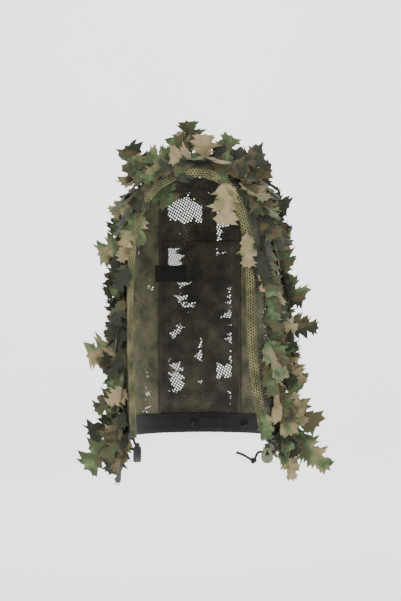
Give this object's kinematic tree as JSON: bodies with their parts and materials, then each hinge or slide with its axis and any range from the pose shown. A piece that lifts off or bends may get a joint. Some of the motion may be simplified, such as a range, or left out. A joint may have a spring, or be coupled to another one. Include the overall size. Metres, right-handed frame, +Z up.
{
  "type": "leaf camouflage hood",
  "caption": "Open-faced netting hood covered with cloth leaves, with a black hem band, snaps, a drawcord casing round the face and sprung cord locks.",
  "frame": {"origin": "inside of the crown, where the hood rests on the head", "axes": "+Z up, -Y the way the face opening looks, +X the wearer's left"},
  "size_m": [0.381, 0.2377, 0.5433],
  "materials": {
    "netting": "knitted mesh, matte",
    "casing": "knitted mesh in printed camouflage, matte",
    "hem": "black woven band",
    "tape": "woven tape in printed camouflage",
    "cord": "braided cord",
    "snap": "black lacquer",
    "lock": "foliage green moulded plastic",
    "dark_plastic": "black moulded plastic",
    "spring": "bright spring wire",
    "leaf_olive": "printed cloth, olive brown",
    "leaf_green": "printed cloth, mid green",
    "leaf_tan": "printed cloth, tan",
    "leaf_dark": "printed cloth, green black",
    "leaf_sage": "printed cloth, sage green"
  },
  "bodies": {
    "hood": {"crown_front_net": "netting", "crown_back_net": "netting", "back_net": "netting", "right_side_net": "netting", "left_side_net": "netting", "right_face_casing": "casing", "brow_casing": "casing", "left_face_casing": "casing", "hem_band": "hem", "hem_loop_strip": "hem", "inner_patch": "hem", "back_tape_left": "tape", "back_tape_middle": "tape", "back_tape_right": "tape", "left_snap_cap": "snap", "left_snap_socket": "snap", "right_snap_cap": "snap", "right_snap_socket": "snap", "drawcord": "cord", "right_cord_end": "cord", "left_cord_lead": "cord", "left_cord_tail": "cord", "left_cord_tip": "cord", "left_cord_knot": "cord", "right_cord_knot": "cord", "right_leaf_crown": "leaf_olive", "right_leaf_brow": "leaf_green", "right_leaf_temple": "leaf_tan", "right_leaf_cheek": "leaf_dark", "right_leaf_ear": "leaf_sage", "right_leaf_jaw": "leaf_olive", "right_leaf_neck": "leaf_green", "right_leaf_collar": "leaf_tan", "right_leaf_shoulder": "leaf_dark", "right_leaf_hem_out": "leaf_sage", "right_leaf_hem_down": "leaf_olive", "left_leaf_crown": "leaf_green", "left_leaf_brow": "leaf_tan", "left_leaf_temple": "leaf_dark", "left_leaf_cheek": "leaf_sage", "left_leaf_ear": "leaf_olive", "left_leaf_jaw": "leaf_green", "left_leaf_neck": "leaf_tan", "left_leaf_collar": "leaf_dark", "left_leaf_hem_out": "leaf_sage", "left_leaf_hem_down": "leaf_olive", "top_leaf_up": "leaf_green", "top_leaf_peak": "leaf_dark", "back_leaf_upper_left": "leaf_sage", "back_leaf_upper_right": "leaf_olive", "back_leaf_middle_left": "leaf_green", "back_leaf_middle_right": "leaf_tan", "back_leaf_lower_left": "leaf_dark", "back_leaf_lower_right": "leaf_sage"},
    "left_lock": {"left_lock_body": "lock", "left_lock_spring": "spring"},
    "left_plunger": {"left_lock_plunger": "dark_plastic"},
    "right_lock": {"right_lock_body": "dark_plastic", "right_lock_spring": "spring"},
    "right_plunger": {"right_lock_plunger": "dark_plastic"}
  },
  "joints": [
    {"name": "left_lock_slide", "type": "slide", "parent": "hood", "child": "left_lock", "axis": [-1, 0, 0], "range_m": [0, 0.004]},
    {"name": "right_lock_slide", "type": "slide", "parent": "hood", "child": "right_lock", "axis": [0, 1, 0], "range_m": [0, 0.004]},
    {"name": "left_plunger_press", "type": "slide", "parent": "left_lock", "child": "left_plunger", "axis": [0, 0, -1], "range_m": [0, 0.005], "stiffness_N_per_m": 500, "springref_m": -0.003, "deforming": ["left_lock_spring"]},
    {"name": "right_plunger_press", "type": "slide", "parent": "right_lock", "child": "right_plunger", "axis": [0, 0, -1], "range_m": [0, 0.005], "stiffness_N_per_m": 500, "springref_m": -0.003, "deforming": ["right_lock_spring"]}
  ]
}
